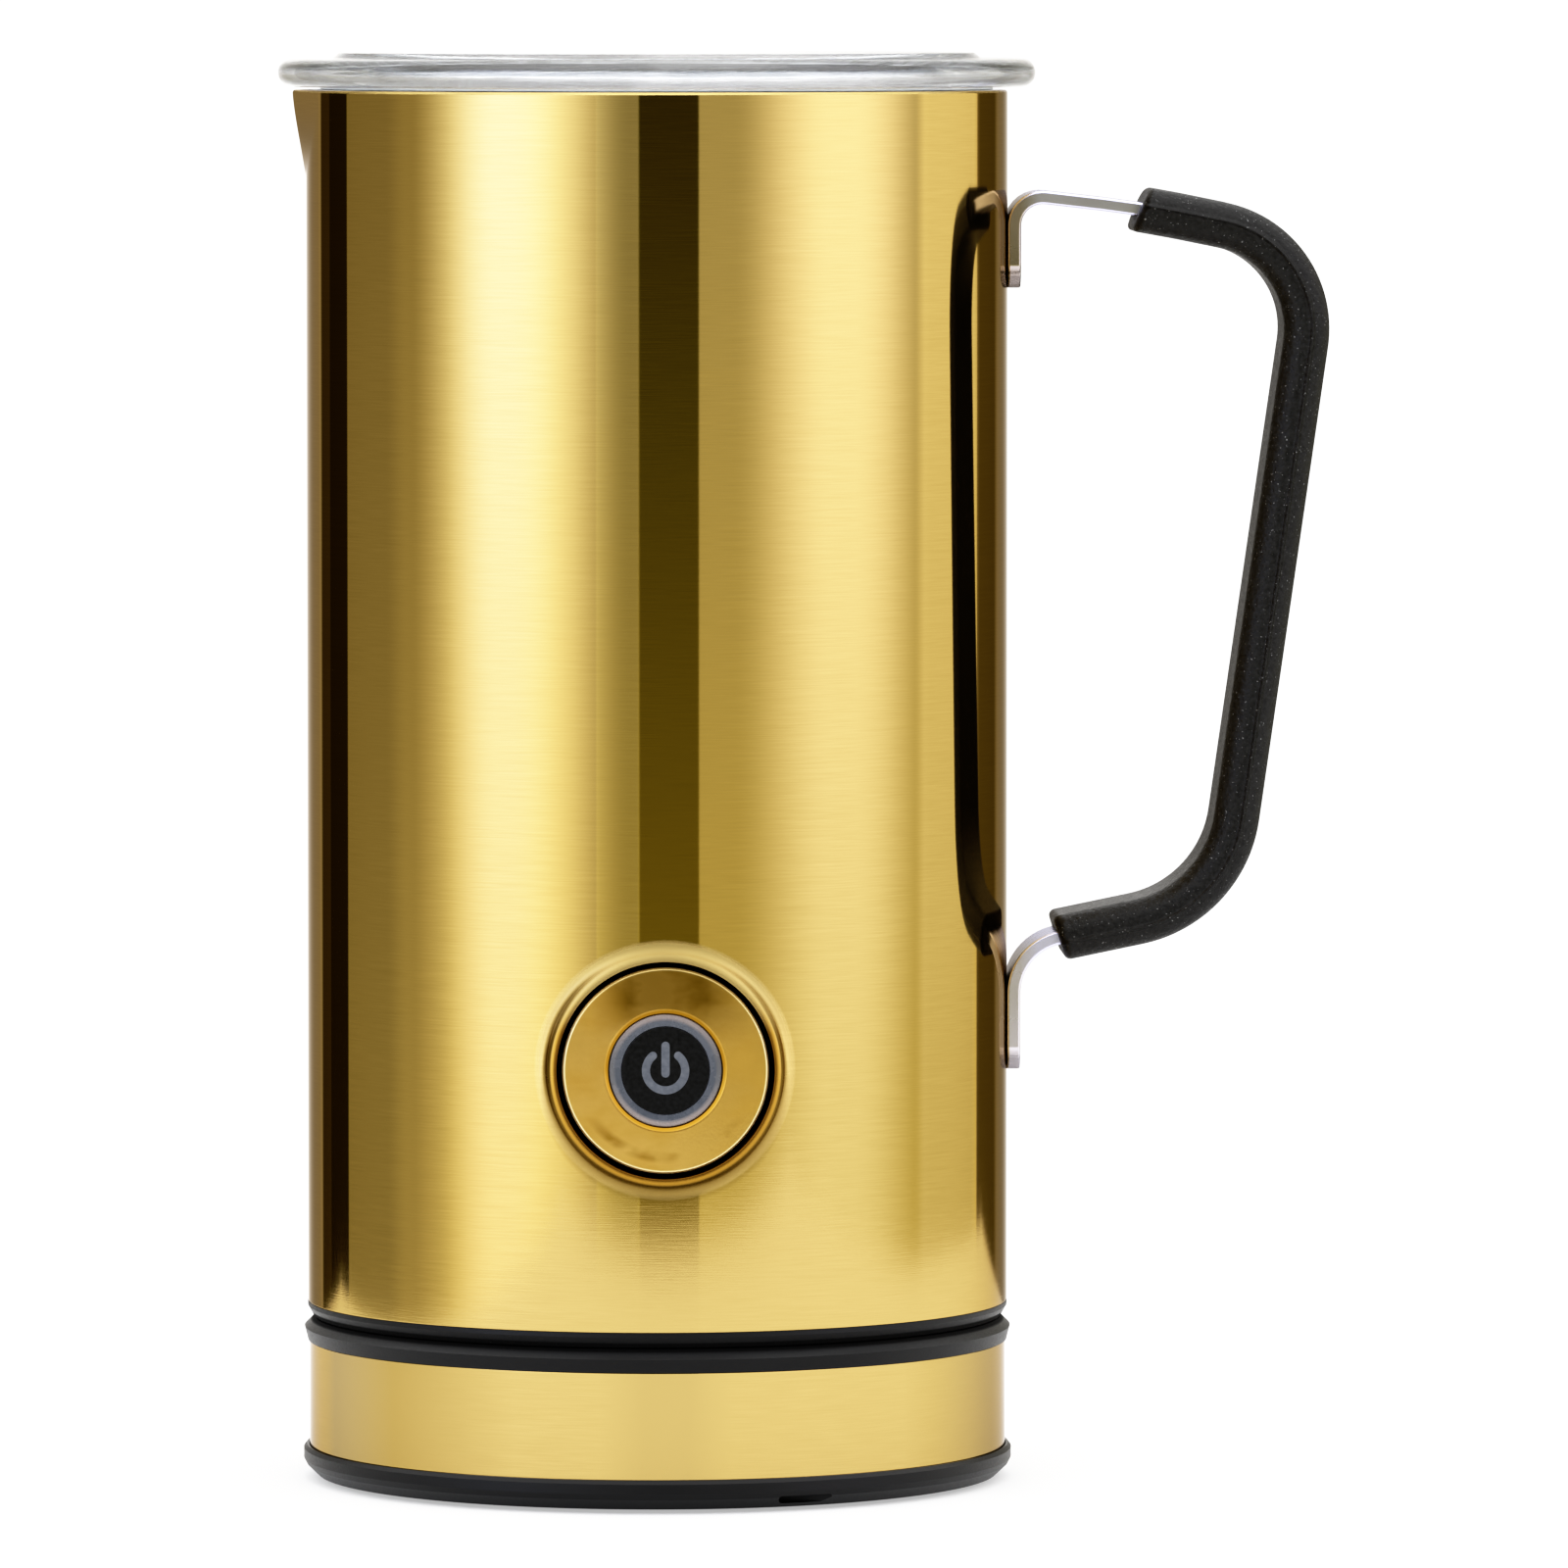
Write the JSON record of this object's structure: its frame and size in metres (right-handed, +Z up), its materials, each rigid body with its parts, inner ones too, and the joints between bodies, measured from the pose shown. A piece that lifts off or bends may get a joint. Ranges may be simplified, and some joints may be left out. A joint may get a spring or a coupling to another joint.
{
  "type": "milk frother",
  "caption": "Electric milk frother: gold steel jug with spout, clear push-in lid, strap handle in a black sleeve and a lit push button, standing on a round cordless power base.",
  "frame": {"origin": "on the jug's axis, in the plane that the four rubber feet stand on", "axes": "+Z up along the jug's axis, +X towards the handle, -X towards the spout, -Y towards the push button"},
  "size_m": [0.142, 0.1024, 0.1934],
  "materials": {
    "gold_steel": "gold PVD steel, fine brushing round the jug",
    "black_plastic": "black moulded plastic, satin",
    "black_button": "black button face, fine satin",
    "inner_plastic": "dark inner moulding",
    "silicone": "matt black silicone",
    "foot_rubber": "grey-black rubber",
    "clear_plastic": "clear polished plastic",
    "clear_silicone": "clear silicone seal",
    "light_guide": "translucent light guide, unlit",
    "icon_print": "grey translucent print",
    "polished_steel": "polished stainless steel",
    "cup_steel": "brushed stainless steel",
    "whisk_plastic": "black food-safe plastic",
    "zinc_steel": "zinc-plated steel",
    "magnet": "nickel-plated magnet",
    "aluminium": "cast aluminium",
    "contact_brass": "brass contact",
    "circuit_board": "green solder mask",
    "component": "electronic component",
    "led": "white LED"
  },
  "bodies": {
    "base": {"base_bottom_cover": "black_plastic", "base_band": "gold_steel", "base_top_cover": "black_plastic", "base_connector": "black_plastic", "earth_contact": "contact_brass", "live_contact": "contact_brass", "neutral_contact": "contact_brass", "cord_gland": "black_plastic", "base_feet": "foot_rubber", "base_screws": "zinc_steel"},
    "jug": {"jug_shell": "gold_steel", "inner_cup": "cup_steel", "whisk_post": "polished_steel", "heat_plate": "aluminium", "heating_tube": "aluminium", "temperature_sensor": "contact_brass", "thermal_cutout": "inner_plastic", "motor": "zinc_steel", "motor_bracket": "inner_plastic", "motor_screws": "zinc_steel", "jug_bottom_cover": "black_plastic", "jug_screws": "zinc_steel", "jug_connector": "black_plastic", "jug_pin": "contact_brass", "jug_inner_ring": "contact_brass", "jug_outer_ring": "contact_brass", "control_board": "circuit_board", "tact_switch": "inner_plastic", "ring_leds": "led", "board_capacitor": "component", "board_relay": "component", "button_housing": "inner_plastic", "handle_strap": "polished_steel", "handle_sleeve": "silicone"},
    "button": {"button_cap": "gold_steel", "button_carrier": "inner_plastic", "button_light_ring": "light_guide", "button_disc": "black_button", "power_icon": "icon_print", "switch_stem": "inner_plastic"},
    "lid": {"lid": "clear_plastic", "lid_seal": "clear_silicone"},
    "rotor": {"motor_shaft": "zinc_steel", "drive_disc": "whisk_plastic", "drive_magnets": "magnet"},
    "whisk": {"whisk_hub": "whisk_plastic", "whisk_magnets": "magnet", "whisk_frame": "polished_steel", "whisk_coil": "polished_steel"}
  },
  "joints": [
    {"name": "jug_lift", "type": "slide", "parent": "base", "child": "jug", "axis": [0, 0, 1], "range_m": [0, 0.06]},
    {"name": "lid_lift", "type": "slide", "parent": "jug", "child": "lid", "axis": [0, 0, 1], "range_m": [0, 0.05]},
    {"name": "button_press", "type": "slide", "parent": "jug", "child": "button", "axis": [0, 1, 0], "range_m": [0, 0.001], "stiffness_N_per_m": 800},
    {"name": "motor_spin", "type": "hinge", "parent": "jug", "child": "rotor", "pos_m": [0, 0, 0.07], "axis": [0, 0, 1], "continuous": true},
    {"name": "whisk_lift", "type": "slide", "parent": "rotor", "child": "whisk", "axis": [0, 0, 1], "range_m": [0, 0.06]}
  ]
}
